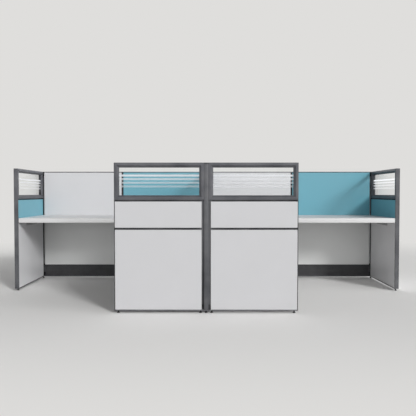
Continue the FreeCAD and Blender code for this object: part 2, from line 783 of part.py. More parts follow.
# Levelling feet and their sockets
feet = {"front_right_inner_foot": (post_half + foot_inset, screen_middle_y),
        "front_right_outer_foot": (front_screen_reach - foot_inset, screen_middle_y),
        "right_wing_foot": (wing_middle_x, worktop_front + foot_inset),
        "back_right_seam_foot": (seam_x + foot_inset, wall_middle_y),
        "back_right_corner_foot": (half_width - foot_inset, wall_middle_y)}
centre_feet = {"front_centre_foot": (0, screen_middle_y),
               "spine_foot": (0, spine_middle - foot_inset),
               "back_centre_foot": (0, wall_middle_y)}
sockets = []
for name, (x, y) in feet.items():
    save(name, [foot(x, y)])
    save(name.replace("right", "left"), [foot(-x, y)])
    sockets += [foot_socket(x, y), foot_socket(-x, y)]
for name, (x, y) in centre_feet.items():
    save(name, [foot(x, y)])
    sockets.append(foot_socket(x, y))
save("foot_sockets", sockets)
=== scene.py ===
# %% [markdown]
# # A cubicle workstation for two
# The construction is finished and comes in as a fixed frame: panels, window units, worktops and feet at
# their real size, in metres. Here each surface gets its finish, and the pieces that show from a step away
# are modelled again with the small shapes that make them look made: soft edges, mitres, threads, slots.
# X runs along the back wall, Y from the front screens to the back wall, and Z is up.

# %% Load the frame
import json
import math

import bmesh
import bpy
from mathutils import Matrix, Vector


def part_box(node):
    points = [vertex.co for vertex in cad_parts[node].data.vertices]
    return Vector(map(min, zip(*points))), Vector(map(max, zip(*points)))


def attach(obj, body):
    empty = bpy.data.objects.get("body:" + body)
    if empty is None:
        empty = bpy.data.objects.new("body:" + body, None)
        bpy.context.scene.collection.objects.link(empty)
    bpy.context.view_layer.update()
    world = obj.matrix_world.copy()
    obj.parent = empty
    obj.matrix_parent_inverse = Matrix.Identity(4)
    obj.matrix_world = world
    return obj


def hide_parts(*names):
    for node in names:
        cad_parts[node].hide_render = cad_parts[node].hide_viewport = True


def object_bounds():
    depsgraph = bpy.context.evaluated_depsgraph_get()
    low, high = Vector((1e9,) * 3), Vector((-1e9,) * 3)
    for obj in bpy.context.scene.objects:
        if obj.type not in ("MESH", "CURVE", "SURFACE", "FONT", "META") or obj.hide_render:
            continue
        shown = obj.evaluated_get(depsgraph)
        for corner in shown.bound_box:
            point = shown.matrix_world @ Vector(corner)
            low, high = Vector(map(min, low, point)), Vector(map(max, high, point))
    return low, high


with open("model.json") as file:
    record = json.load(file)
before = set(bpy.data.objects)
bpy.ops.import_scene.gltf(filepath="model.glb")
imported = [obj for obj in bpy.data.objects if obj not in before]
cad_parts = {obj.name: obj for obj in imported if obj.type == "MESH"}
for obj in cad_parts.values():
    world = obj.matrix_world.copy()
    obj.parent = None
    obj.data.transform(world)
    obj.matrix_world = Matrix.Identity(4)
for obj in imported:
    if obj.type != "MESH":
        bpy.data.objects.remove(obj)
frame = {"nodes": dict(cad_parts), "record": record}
cad_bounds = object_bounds()
record = frame["record"]

# %% [markdown]
# Shader maths reads best as plain sums. This small class wraps one socket of a node tree, so that
# `1 - mask * 0.3` adds the Math nodes for us. Any other node comes from `Shader.node`, which takes the
# node's type, its settings, and the values or links of its sockets.

# %% A wrapper for shader sockets
black = (0.0, 0.0, 0.0, 1.0)
white = (1.0, 1.0, 1.0, 1.0)


class Value:
    """One number or colour that a node puts out."""

    def __init__(self, shader, socket):
        self.shader = shader
        self.socket = socket

    def combine(self, operation, first, second):
        return self.shader.node("ShaderNodeMath", {"operation": operation}, {0: first, 1: second})

    def __add__(self, other):
        return self.combine("ADD", self, other)

    def __radd__(self, other):
        return self.combine("ADD", other, self)

    def __sub__(self, other):
        return self.combine("SUBTRACT", self, other)

    def __rsub__(self, other):
        return self.combine("SUBTRACT", other, self)

    def __mul__(self, other):
        return self.combine("MULTIPLY", self, other)

    def __rmul__(self, other):
        return self.combine("MULTIPLY", other, self)


class Shader:
    """The node tree of a material or a world, with one method that adds any node."""

    def __init__(self, owner):
        self.owner = owner
        owner.use_nodes = True
        self.tree = owner.node_tree
        self.tree.nodes.clear()

    def node(self, kind, settings=None, sockets=None, output=0):
        made = self.tree.nodes.new(kind)
        for key, value in (settings or {}).items():
            if key == "stops":
                self.set_stops(made, value)
            else:
                setattr(made, key, value)
        for key, value in (sockets or {}).items():
            self.feed(made.inputs[key], value)
        return Value(self, made.outputs[output]) if len(made.outputs) else None

    def set_stops(self, ramp, stops):
        elements = ramp.color_ramp.elements
        while len(elements) < len(stops):
            elements.new(1.0)
        for element, (place, tone) in zip(elements, stops):
            element.position = place
            element.color = (tone, tone, tone, 1.0)

    def feed(self, socket, value):
        if isinstance(value, Value):
            self.tree.links.new(value.socket, socket)
        else:
            socket.default_value = value

    def place(self):
        """Where a point is on the object, in metres."""
        return self.node("ShaderNodeTexCoord", output="Object")

    def noise(self, size, detail=3.0, rough=0.55):
        """Noise whose blotches are about `size` metres across, from 0 to 1."""
        return self.node("ShaderNodeTexNoise", None, {"Vector": self.place(), "Scale": 1.0 / size,
                                                      "Detail": detail, "Roughness": rough})

    def ramp(self, value, stops):
        return self.node("ShaderNodeValToRGB", {"stops": stops}, {"Fac": value})

    def mix(self, share, first, second):
        """A colour between two colours."""
        return self.node("ShaderNodeMix", {"data_type": "RGBA"}, {0: share, 6: first, 7: second}, 2)

    def bump(self, height, depth, strength):
        """Relief `depth` metres deep from a height of 0 to 1."""
        sockets = {"Strength": strength, "Distance": depth, "Height": height}
        return self.node("ShaderNodeBump", None, sockets)

    def share_along(self, value, low, high, first=0.0, last=1.0, curve="LINEAR"):
        """Runs from `first` to `last` while a value runs from `low` to `high`."""
        sockets = {"Value": value, "From Min": low, "From Max": high, "To Min": first, "To Max": last}
        return self.node("ShaderNodeMapRange", {"interpolation_type": curve}, sockets)

    def overlay(self, share, under, over):
        """Two shaders laid over each other; `share` is how much of the upper one shows."""
        return self.node("ShaderNodeMixShader", None, {0: share, 1: under, 2: over})

    def principled(self, **sockets):
        """One Principled shader; `_` in a socket's name stands for a space."""
        named = {key.replace("_", " "): value for key, value in sockets.items()}
        return self.node("ShaderNodeBsdfPrincipled", None, named)

    def finish(self, surface, kind="Material"):
        """Ends the tree with its output and hands back what it belongs to."""
        self.node("ShaderNodeOutput" + kind, None, {"Surface": surface})
        return self.owner


def new_shader(name):
    return Shader(bpy.data.materials.new(name))


def tone(red, green, blue):
    """A colour written as the eye sees it, 0 to 255, turned into light."""
    light = []
    for part in (red, green, blue):
        share = part / 255
        light.append(share / 12.92 if share <= 0.04045 else ((share + 0.055) / 1.055) ** 2.4)
    return (*light, 1.0)


print("shader helper ready")

# %% [markdown]
# ## Finishes
# Powder coat is never a flat colour: it is a fine orange peel, a little cloudier in gloss from place to
# place. Two noises do it, one at a millimetre for the peel and one at a hand's width for the gloss.

# %% Powder coats
cloud_size = 0.16


def powder_coat(name, colour, roughness=0.48, peel=0.0011, depth=0.00005, gleam=0.4):
    shader = new_shader(name)
    grain = shader.noise(peel, 2.0)
    clouds = shader.noise(cloud_size, 3.0)
    base = shader.mix(shader.ramp(clouds, ((0.3, 0.0), (0.7, 1.0))),
                      shader.mix(0.07, colour, black), shader.mix(0.05, colour, white))
    coat = shader.principled(Base_Color=base, Roughness=roughness - 0.08 + clouds * 0.14 + grain * 0.03,
                             Specular_IOR_Level=gleam, Normal=shader.bump(grain, depth, 0.55))
    return shader.finish(coat)


panel_grey = powder_coat("panel_grey_powder_coat", tone(68, 69, 73))
bar_grey = powder_coat("window_bar_powder_coat", tone(67, 68, 73), 0.42, 0.0008, 0.00003)
# The two darker coats carry painted shade: the tubes and corner fillers show only in seams and corners,
# where little light gets in, so their grey is deepened, to near black on the wings and the back wall.
dark_grey_and_seam_shade = powder_coat("screen_frame_powder_coat_and_seam_shade", tone(42, 43, 46), 0.55, gleam=0.2)
seam_shade_black = powder_coat("wall_frame_powder_coat_seam_shade", tone(24, 24, 26), 0.6, gleam=0.1)
bracket_grey = powder_coat("bracket_powder_coat", tone(168, 168, 170))
tray_grey = powder_coat("tray_powder_coat", tone(74, 75, 78))
print("powder coats:", [made.name for made in bpy.data.materials if "powder" in made.name])

# %% [markdown]
# The tiles and worktops are laminated boards. The laminate has a fine pearl embossing that breaks up the
# highlight, faint dust in its colour and slow changes of gloss. The whites of the front, the wall and the
# lower wall are one white board, matched to how each looks in its light. The front and the wall are painted
# a shade greyer and the lower wall a little warmer, as painted shade, so each of them has its own.

# %% Laminates
wipe_size = 0.22
dust_size = 0.004
grime = (0.2, 0.2, 0.2, 1.0)


def laminate(name, colour, roughness, emboss=0.0013, depth=0.00003, fleck=0.02, gleam=0.5):
    shader = new_shader(name)
    pearl = shader.noise(emboss, 3.0, 0.6)
    wipes = shader.noise(wipe_size, 4.0, 0.5)
    dust = shader.noise(dust_size, 5.0, 0.7)
    wiped = shader.ramp(wipes, ((0.35, 0.0), (0.75, 1.0)))
    dusty = shader.ramp(dust, ((0.56, 0.0), (0.8, fleck * 4)))
    base = shader.mix(wiped, colour, shader.mix(0.035, colour, grime))
    base = shader.mix(dusty, base, shader.mix(0.3, colour, white))
    board = shader.principled(Base_Color=base, Roughness=roughness - 0.05 + wipes * 0.1 + pearl * 0.04,
                              Specular_IOR_Level=gleam, Normal=shader.bump(pearl, depth, 0.5))
    return shader.finish(board)


white_laminate = laminate("white_tile_laminate", tone(215, 215, 217), 0.34)
# Painted shade: the next three are the one white board, greyer on the front and the wall and warmer on the
# lower wall, standing in for the light each gets.
front_shaded_laminate = laminate("front_tile_laminate_painted_shade", tone(190, 190, 192), 0.4)
wall_shaded_laminate = laminate("wall_tile_laminate_painted_shade", tone(199, 199, 201), 0.38)
low_shaded_laminate = laminate("low_tile_laminate_painted_shade", tone(211, 212, 211), 0.36)
teal_laminate = laminate("teal_tile_laminate", tone(97, 158, 174), 0.32, fleck=0.03)
worktop_laminate = laminate("worktop_laminate", tone(219, 219, 220), 0.42, 0.0009, 0.00002, 0.01, 0.15)
edge_band = laminate("worktop_edge_band", tone(205, 205, 205), 0.38, 0.0007, 0.00002, 0.01)
print("laminates:", [made.name for made in bpy.data.materials if "laminate" in made.name])

# %% [markdown]
# Glass and film: the pane is clear float glass with a faint smear in its polish. It mirrors a little more
# at a flat angle, on its outer side only. The frosted bands are a white film, grainy close up, that
# covers less from the top band to the lowest.

# %% Glass, film, rubber, plastics and metals
glass_index = 1.45
glass_clear = (0.99, 0.995, 0.992, 1.0)
glass_gleam = (0.42, 0.44, 0.47, 1.0)
glass_polish = 0.03
smear_size = 0.09
film_grain = 0.0007
film_lit = (0.8, 0.81, 0.84, 1.0)
film_shining = (0.96, 0.965, 1.0, 1.0)
film_shining_share = 0.66
film_cover_low = 0.32
film_cover_rise = 0.64


def float_glass(name):
    shader = new_shader(name)
    smear = shader.noise(smear_size, 4.0)
    clear = shader.node("ShaderNodeBsdfTransparent", None, {"Color": glass_clear})
    gloss = shader.node("ShaderNodeBsdfGlossy", None, {"Color": glass_gleam,
                                                       "Roughness": glass_polish + smear * 0.05})
    grazing = shader.node("ShaderNodeFresnel", None, {"IOR": glass_index})
    inside = shader.node("ShaderNodeNewGeometry", output="Backfacing")
    return shader.finish(shader.overlay(grazing * (1 - inside), clear, gloss))


def frosted_film(name):
    shader = new_shader(name)
    grain = shader.noise(film_grain, 2.0)
    level = shader.node("ShaderNodeSeparateXYZ", None, {"Vector": shader.place()}, 2)
    rise = shader.share_along(level, film_low, film_high)
    lit = shader.node("ShaderNodeBsdfDiffuse", None, {"Color": film_lit})
    shining = shader.node("ShaderNodeBsdfTranslucent", None, {"Color": film_shining})
    clear = shader.node("ShaderNodeBsdfTransparent", None, {"Color": white})
    film = shader.overlay(film_shining_share, lit, shining)
    inside = shader.node("ShaderNodeNewGeometry", output="Backfacing")
    cover = film_cover_low + rise * rise * film_cover_rise + grain * 0.04
    return shader.finish(shader.overlay(cover * (1 - inside), clear, film))


def moulded(name, colour, roughness, grain_size=0.0009, depth=0.00005, gleam=0.3):
    shader = new_shader(name)
    grain = shader.noise(grain_size, 3.0, 0.65)
    cloud = shader.noise(0.08, 3.0)
    base = shader.mix(cloud, shader.mix(0.12, colour, black), shader.mix(0.03, colour, white))
    skin = shader.principled(Base_Color=base, Roughness=roughness - 0.06 + cloud * 0.12,
                             Specular_IOR_Level=gleam, Normal=shader.bump(grain, depth, 0.6))
    return shader.finish(skin)


def zinc_steel(name, colour, roughness=0.34):
    shader = new_shader(name)
    streak = shader.noise(0.0025, 4.0, 0.6)
    bloom = shader.noise(0.012, 3.0)
    base = shader.mix(bloom, shader.mix(0.25, colour, (0.2, 0.2, 0.22, 1)), colour)
    metal = shader.principled(Base_Color=base, Metallic=1.0, Roughness=roughness - 0.08 + streak * 0.2,
                              Normal=shader.bump(streak, 0.00002, 0.4))
    return shader.finish(metal)


film_low, film_high = (corner[2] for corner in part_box("frosted_bands"))
pane_glass = float_glass("float_glass")
film_white = frosted_film("frosted_film")
seal_rubber = moulded("seal_rubber", tone(38, 38, 40), 0.72)
raceway_plastic = moulded("raceway_plastic", tone(58, 58, 60), 0.5, gleam=0.15)
foot_nylon = moulded("foot_nylon", tone(34, 34, 35), 0.5)
screw_zinc = zinc_steel("screw_zinc", (0.62, 0.62, 0.63, 1))
bolt_zinc = zinc_steel("bolt_zinc", (0.5, 0.5, 0.52, 1), 0.42)
print("glass, film, rubber, plastics and zinc ready")

# %% [markdown]
# Each node of the frame is given the finish of its material slot.

# %% Finish the frame's own nodes
finishes = {"frame_paint": panel_grey, "trim_paint": panel_grey, "window_paint": bar_grey,
            "white_tile": white_laminate, "teal_tile": teal_laminate, "glass": pane_glass,
            "frosted_film": film_white, "seal_rubber": seal_rubber, "raceway_plastic": raceway_plastic,
            "tray_metal": tray_grey, "worktop_laminate": worktop_laminate, "bracket_paint": bracket_grey,
            "screw_steel": screw_zinc, "bolt_steel": bolt_zinc, "socket_steel": bolt_zinc,
            "foot_black": foot_nylon}
slot_of = {part["node"]: part["material_slot"] for part in record["subparts"]}
for node, obj in frame["nodes"].items():
    obj.data.materials.clear()
    obj.data.materials.append(finishes[slot_of[node]])
print("finished nodes:", len(slot_of))

# %% [markdown]
# ## Tools for the pieces
# Each visible node is modelled again inside its own box, so nothing grows past the construction. A few
# helpers read those boxes, close a mesh, and hand the finished piece its finish, its body and its node.
# A face looks along an axis when `facing` or more of its normal does.

# %% Helpers that read boxes and finish pieces
weld = 1e-6
sharp_angle = 35.0
crease_angle = 30.0
facing = 0.9


def groups(items, neighbours):
    """Splits vertices or faces into the groups that hang together."""
    found = []
    seen = set()
    for first in items:
        if first in seen:
            continue
        seen.add(first)
        reached = [first]
        for item in reached:
            for other in neighbours(item):
                if other not in seen:
                    seen.add(other)
                    reached.append(other)
        found.append(reached)
    return found


def welded(node):
    """A node's own mesh with its vertices merged."""
    mesh = bmesh.new()
    mesh.from_mesh(frame["nodes"][node].data)
    bmesh.ops.remove_doubles(mesh, verts=mesh.verts, dist=weld)
    return mesh


def solids(node):
    """The points of each of a node's separate solids."""
    mesh = welded(node)
    found = []
    for group in groups(mesh.verts, lambda vertex: [edge.other_vert(vertex) for edge in vertex.link_edges]):
        found.append([vertex.co.copy() for vertex in group])
    mesh.free()
    return found


def box_of(points):
    """The lowest and the highest corner round some points."""
    return (Vector([min(point[i] for point in points) for i in range(3)]),
            Vector([max(point[i] for point in points) for i in range(3)]))


def solid_boxes(node):
    """The boxes of a node's separate solids, in order of place."""
    boxes = [box_of(points) for points in solids(node)]
    return sorted(boxes, key=lambda box: tuple(round(value, 4) for value in (*box[0], *box[1])))


def box_mesh(low, high):
    """A closed block between two corners."""
    mesh = bmesh.new()
    bmesh.ops.create_cube(mesh, size=1.0)
    bmesh.ops.scale(mesh, vec=high - low, verts=mesh.verts)
    bmesh.ops.translate(mesh, vec=(low + high) / 2, verts=mesh.verts)
    return mesh


def soften(mesh, edges, width, segments=3):
    bmesh.ops.bevel(mesh, geom=list(edges), offset=width, offset_type="OFFSET", segments=segments,
                    profile=0.5, affect="EDGES", clamp_overlap=True, material=-1)


def sharp_edges(mesh):
    limit = math.radians(sharp_angle)
    return [edge for edge in mesh.edges if edge.is_manifold and edge.calc_face_angle(0.0) > limit]


def gather(meshes):
    """Several meshes as one."""
    whole = bmesh.new()
    for mesh in meshes:
        data = bpy.data.meshes.new("part")
        mesh.to_mesh(data)
        mesh.free()
        whole.from_mesh(data)
        bpy.data.meshes.remove(data)
    return whole


def turn_outwards(mesh):
    """Makes the faces of each separate shell look out.

    The operator alone can get a tiny shell far from the origin wrong, so each shell's volume is tested too.
    """
    bmesh.ops.recalc_face_normals(mesh, faces=mesh.faces)
    for shell in groups(mesh.faces, lambda face: [near for edge in face.edges for near in edge.link_faces]):
        middle = shell[0].calc_center_median()
        swollen = 0.0
        for face in shell:
            reach = (face.calc_center_median() - middle).dot(face.normal)
            swollen += reach * face.calc_area()
        if swollen < 0:
            bmesh.ops.reverse_faces(mesh, faces=shell)


def piece(name, meshes, finish, nodes, body="workstation"):
    """Makes one named piece from meshes drawn in place, and lets it stand for its nodes."""
    whole = gather(meshes)
    if all(len(edge.link_faces) < 3 for edge in whole.edges):
        bmesh.ops.holes_fill(whole, edges=[edge for edge in whole.edges if edge.is_boundary], sides=0)
    turn_outwards(whole)
    data = bpy.data.meshes.new(name)
    whole.to_mesh(data)
    whole.free()
    data.shade_smooth()
    data.set_sharp_from_angle(angle=math.radians(crease_angle))
    data.materials.append(finish)
    made = bpy.data.objects.new(name, data)
    bpy.context.scene.collection.objects.link(made)
    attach(made, body)
    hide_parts(*nodes)
    print(name, len(data.polygons), "faces")
    return made


def face_towards(mesh, axis, side):
    """The largest face that looks along an axis, to one side."""
    looking = [face for face in mesh.faces if face.normal[axis] * side > 0.99]
    return max(looking, key=lambda face: face.calc_area())


def joint_line(mesh, axis, side, inset, width, depth):
    """A fine joint that runs round a face, `inset` in from its edge."""
    for thickness, step in ((inset, 0.0), (width, -depth), (width, depth)):
        face = face_towards(mesh, axis, side)
        bmesh.ops.inset_region(mesh, faces=[face], thickness=thickness, depth=step)


def round_corner(back, here, ahead, radius, steps=4):
    """Points of the arc that rounds the corner at `here`."""
    first = (back - here).normalized()
    second = (ahead - here).normalized()
    half = first.angle(second) / 2
    reach = radius / math.tan(half)
    centre = here + (first + second).normalized() * (radius / math.sin(half))
    start = here + first * reach - centre
    end = here + second * reach - centre
    return [centre + start.slerp(end, step / steps).normalized() * radius for step in range(steps + 1)]


def rounded(corners):
    """An outline from (first, second, radius) corners, each corner rounded by its radius."""
    outline = []
    for index, (first, second, radius) in enumerate(corners):
        here = Vector((first, second))
        if not radius:
            outline.append(here)
            continue
        back = Vector(corners[index - 1][:2])
        ahead = Vector(corners[(index + 1) % len(corners)][:2])
        outline += round_corner(back, here, ahead, radius)
    return outline


def draw_out(mesh, shift):
    """Pulls all faces of an open mesh out by `shift`, which closes it."""
    drawn = bmesh.ops.extrude_face_region(mesh, geom=mesh.faces[:])
    far = [item for item in drawn["geom"] if isinstance(item, bmesh.types.BMVert)]
    bmesh.ops.translate(mesh, vec=shift, verts=far)


def prism(outline, length):
    """A block along X from 0 to `length`, from an outline of (Y, Z) points."""
    mesh = bmesh.new()
    mesh.faces.new([mesh.verts.new((0.0, point[0], point[1])) for point in outline])
    draw_out(mesh, (length, 0.0, 0.0))
    return mesh


def lathe(outline, steps=32, closed=False):
    """A round piece about Z, from an outline of (radius, Z) points."""
    mesh = bmesh.new()
    points = [mesh.verts.new((radius, 0.0, level)) for radius, level in outline]
    ahead = points[1:] + points[:1] if closed else points[1:]
    edges = [mesh.edges.new(pair) for pair in zip(points, ahead)]
    bmesh.ops.spin(mesh, geom=points + edges, cent=(0, 0, 0), axis=(0, 0, 1), angle=math.tau, steps=steps)
    bmesh.ops.remove_doubles(mesh, verts=mesh.verts, dist=weld)
    return mesh


def thread_mesh(root, crest, pitch, start, end, steps=20):
    """A screw thread about Z: one tooth's outline swept round and up, on a plain core."""
    tooth = ((root, 0.0), (root, 0.2), (crest, 0.45), (crest, 0.55), (root, 0.8), (root, 1.0))
    turns = max(int((end - start) / pitch) - 1, 1)
    turn = bmesh.new()
    points = [turn.verts.new((radius, 0.0, start + share * pitch)) for radius, share in tooth]
    edges = [turn.edges.new(pair) for pair in zip(points, points[1:])]
    bmesh.ops.spin(turn, geom=points + edges, cent=(0, 0, 0), axis=(0, 0, 1), dvec=(0, 0, pitch / steps),
                   angle=math.tau, steps=steps)
    stack = []
    for level in range(turns):
        stack.append(turn.copy())
        bmesh.ops.translate(stack[-1], vec=(0.0, 0.0, level * pitch), verts=stack[-1].verts)
    mesh = gather(stack)
    bmesh.ops.remove_doubles(mesh, verts=mesh.verts, dist=weld)
    slope = crest - root
    core = lathe(((0.0, start), (root, start), (root, end - slope), (root - slope, end), (0.0, end)), steps)
    return gather([mesh, core])


def hexagon_mesh(radius, low, high, chamfer):
    """A six-sided prism about Z with one corner on X, its rims chamfered."""
    mesh = lathe(((radius, low), (radius, high)), 6)
    bmesh.ops.holes_fill(mesh, edges=mesh.edges[:], sides=6)
    rims = [edge for edge in mesh.edges if abs(edge.verts[0].co.z - edge.verts[1].co.z) < chamfer]
    soften(mesh, rims, chamfer, 1)
    return mesh


def merged_copy(node):
    """A node's own mesh, its vertices merged and its flat stretches joined into whole faces."""
    mesh = welded(node)
    bmesh.ops.dissolve_limit(mesh, angle_limit=math.radians(0.5), verts=mesh.verts, edges=mesh.edges)
    return mesh


def softened_copy(node, radius):
    """A merged copy of a node's mesh whose sharp edges are softened."""
    mesh = merged_copy(node)
    soften(mesh, sharp_edges(mesh), radius, 2)
    return mesh


def node_box(node):
    """The lowest and the highest corner of a node."""
    return tuple(Vector(corner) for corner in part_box(node))


def stand_on(mesh, low, high):
    """Moves a round mesh from the origin to the middle of a box's floor."""
    bmesh.ops.translate(mesh, vec=((low.x + high.x) / 2, (low.y + high.y) / 2, low.z), verts=mesh.verts)


print("helpers ready")

# %% [markdown]
# ## Tiles
# A tile is a laminated board. Its face edges are softened by 1.5 mm, and a fine joint runs round the face
# where the laminate meets the edge band. An inset, a shallow step down and a step up again draw the joint
# in three moves, which beats a boolean: the faces stay clean quads.

# %% Tiles
edge_radius = 0.0015
band_inset = 0.0012
joint_width = 0.0003
joint_depth = 0.00025


def tile_mesh(low, high, axis, side):
    mesh = box_mesh(low, high)
    soften(mesh, face_towards(mesh, axis, side).edges, edge_radius)
    soften(mesh, face_towards(mesh, axis, -side).edges, edge_radius / 4, 1)
    joint_line(mesh, axis, side, band_inset, joint_width, joint_depth)
    return mesh


# The side along Y that each tile looks to, and its laminate
tiles = {"front_right_lower_tile": (-1, front_shaded_laminate), "front_left_lower_tile": (-1, front_shaded_laminate),
         "front_right_upper_tile": (-1, front_shaded_laminate), "front_left_upper_tile": (-1, front_shaded_laminate),
         "front_inner_lower_tiles": (1, white_laminate), "front_inner_upper_tiles": (1, teal_laminate),
         "back_inner_right_tile": (-1, wall_shaded_laminate), "back_outer_right_tile": (-1, teal_laminate),
         "back_inner_left_tile": (-1, teal_laminate), "back_outer_left_tile": (-1, wall_shaded_laminate),
         "back_lower_tiles": (-1, low_shaded_laminate), "back_rear_tiles": (1, white_laminate)}
for node, (side, finish) in tiles.items():
    boards = [tile_mesh(low, high, 1, side) for low, high in solid_boxes(node)]
    piece(node + "_board", boards, finish, [node])

# Wing and spine tiles look along X: outwards from the middle of the panel that carries them
wing_middle = (cad_bounds[1][0] + solid_boxes("wing_lower_tiles")[-1][0][0]) / 2
panel_middles = {"left_wing_upper_tile": (-wing_middle,), "right_wing_upper_tile": (wing_middle,),
                 "wing_lower_tiles": (-wing_middle, wing_middle),
                 "wing_outer_tiles": (-wing_middle, wing_middle), "spine_tiles": (0.0,)}
for node, middles in panel_middles.items():
    meshes = []
    for low, high in solid_boxes(node):
        centre = (low[0] + high[0]) / 2
        middle = min(middles, key=lambda place: abs(place - centre))
        meshes.append(tile_mesh(low, high, 0, 1 if centre > middle else -1))
    piece(node + "_board", meshes, finishes[slot_of[node]], [node])

# %% [markdown]
# ## Window units
# A bar is one profile drawn out along its length, then mitred: each end slides inwards by the height of
# the profile at that point, which cuts both ends at 45 degrees without any boolean. The bead steps back
# and slopes towards the glass. The mitre edges get a hair of softening, so the corner joints show.

# %% Window units
bar_width = 0.039
flat_width = 0.024
bead_step = 0.005
bead_slope = 0.009
bar_radius = 0.0025
groove_half = 0.0045
groove_depth = 0.012
mitre_edge = 0.00025
panel_thickness = 0.042


def bar_profile(half_thickness):
    """A bar's outline as (across the panel, height above the outer edge)."""
    back = half_thickness - bead_step
    lip = back - bead_slope
    corners = [(-half_thickness, 0.0, bar_radius), (half_thickness, 0.0, bar_radius),
               (half_thickness, flat_width, bar_radius / 2), (back, flat_width, 0.0),
               (lip, bar_width, bar_radius / 3), (groove_half, bar_width, 0.0),
               (groove_half, bar_width - groove_depth, 0.0), (-groove_half, bar_width - groove_depth, 0.0),
               (-groove_half, bar_width, 0.0), (-lip, bar_width, bar_radius / 3), (-back, flat_width, 0.0),
               (-half_thickness, flat_width, bar_radius / 2)]
    return rounded(corners)


def bar_mesh(length, outline):
    """A bar along X with its outer edge on Z = 0 and both ends mitred."""
    mesh = prism(outline, length)
    for vertex in mesh.verts:
        vertex.co.x += vertex.co.z if vertex.co.x < length / 2 else -vertex.co.z
    ends = [face for face in mesh.faces if len(face.verts) == len(outline)]
    soften(mesh, {edge for face in ends for edge in face.edges}, mitre_edge, 1)
    return mesh


def window_meshes(low, high, along):
    """Four bars round a window box; `along` is the axis the panel runs along."""
    width = high[along] - low[along]
    height = high[2] - low[2]
    across = 1 - along
    outline = bar_profile((high[across] - low[across]) / 2)
    middle = (low[across] + high[across]) / 2
    stand = Matrix.Rotation(math.radians(90.0), 4, "Z") if along else Matrix.Identity(4)
    start = Vector((low[0], low[1], low[2]))
    start[across] = middle
    meshes = []
    for turn, offset, length in ((0, (0.0, 0.0), width), (90, (width, 0.0), height),
                                 (180, (width, height), width), (270, (0.0, height), height)):
        mesh = bar_mesh(length, outline)
        roll = Matrix.Rotation(math.radians(-turn), 4, "Y")
        shift = Matrix.Translation((offset[0], 0.0, offset[1]))
        mesh.transform(Matrix.Translation(start) @ stand @ shift @ roll)
        meshes.append(mesh)
    return meshes


def unit_boxes(node, axis, length):
    """The boxes of a node's two units: the `length` at each end of the node's box along an axis."""
    low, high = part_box(node)
    first_high = high.copy()
    first_high[axis] = low[axis] + length
    second_low = low.copy()
    second_low[axis] = high[axis] - length
    return [(low, first_high), (second_low, high)]


for node in ("front_right_window_frame", "front_left_window_frame"):
    low, high = node_box(node)
    piece(node + "_bars", window_meshes(low, high, 0), bar_grey, [node])
spine_low, spine_high = node_box("spine_window_frames")
spine_unit = (spine_high.y - spine_low.y) / 2
paired_units = (("wing_window_frames", 0, panel_thickness), ("spine_window_frames", 1, spine_unit))
for node, axis, length in paired_units:
    meshes = []
    for low, high in unit_boxes(node, axis, length):
        meshes += window_meshes(low, high, 1)
    piece(node + "_bars", meshes, bar_grey, [node])

# %% [markdown]
# ## Worktops
# A worktop is a thick board with a band glued round its edge. All its edges are softened by 3 mm, as the
# construction has them, and the joint of the band runs round the top and the underside. The same
# `joint_line` as on the tiles does it.

# %% Worktops
worktop_radius = 0.003
worktop_joint_width = 0.0004
worktop_joint_depth = 0.0003


def worktop_mesh(low, high):
    mesh = box_mesh(low, high)
    soften(mesh, mesh.edges[:], worktop_radius, 4)
    for side in (-1, 1):
        joint_line(mesh, 2, side, worktop_joint_width, worktop_joint_width, worktop_joint_depth)
    return mesh


for kind in ("main", "return"):
    for hand in ("right", "left"):
        node = kind + "_worktop_" + hand
        low, high = node_box(node)
        board = piece(node + "_board", [worktop_mesh(low, high)], worktop_laminate, [node])
        board.data.materials.append(edge_band)
        for face in board.data.polygons:
            face.material_index = int(abs(face.normal.z) < facing)

# %% [markdown]
# ## End covers, fillers and caps
# Each free end of a panel is closed by a strip. Its long outer edges are round, and a fine line inside them
# shows where the strip snaps over the frame. The caps on the wall and the posts get the same soft top edge.
# The covers of the front screens have the frames' darker grey, and the strips that fill the corners between
# the wings and the back wall are near black: painted shade for the deep corners, where little light gets
# in.
# Cover and filler touch there and come as one box, so `corner_meshes` parts them.

# %% End covers, fillers and caps
cover_thickness = 0.006
cover_radius = 0.002
cover_line_inset = 0.003
cover_line_width = 0.0005
cover_line_depth = 0.0006
corner_start = 0.78
corner_end = 1.898
corner_rear = 0.8315


def strip_mesh(low, high, axis, side):
    mesh = box_mesh(low, high)
    soften(mesh, face_towards(mesh, axis, side).edges, cover_radius, 4)
    soften(mesh, face_towards(mesh, axis, -side).edges, cover_radius / 8, 1)
    joint_line(mesh, axis, side, cover_line_inset, cover_line_width, cover_line_depth)
    return mesh


def corner_meshes(low, high):
    """A corner's cover and the filler beside it, which share an edge and so come as one box."""
    hand = 1 if low.x > 0 else -1
    parting = (high.x if hand > 0 else low.x) - hand * cover_thickness
    ends = sorted((parting, low.x if hand > 0 else high.x))
    filler_low = Vector((ends[0], low.y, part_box("back_rear_tiles")[0][2]))
    filler_high = Vector((ends[1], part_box("back_lower_tiles")[1][1], high.z))
    ends = sorted((parting, high.x if hand > 0 else low.x))
    cover = strip_mesh(Vector((ends[0], low.y, low.z)), Vector((ends[1], high.y, high.z)), 0, hand)
    return [cover, strip_mesh(filler_low, filler_high, 1, -1)]


meshes = []
for low, high in solid_boxes("end_covers_and_fillers"):
    size = high - low
    if min(size.x, size.y) > cover_thickness * 2:
        meshes += corner_meshes(low, high)
    elif size.x < size.y:
        meshes.append(strip_mesh(low, high, 0, 1 if low.x > 0 else -1))
    else:
        meshes.append(strip_mesh(low, high, 1, -1))
covers = piece("end_cover_strips", meshes, panel_grey, ["end_covers_and_fillers"])
covers.data.materials.append(seam_shade_black)
covers.data.materials.append(dark_grey_and_seam_shade)
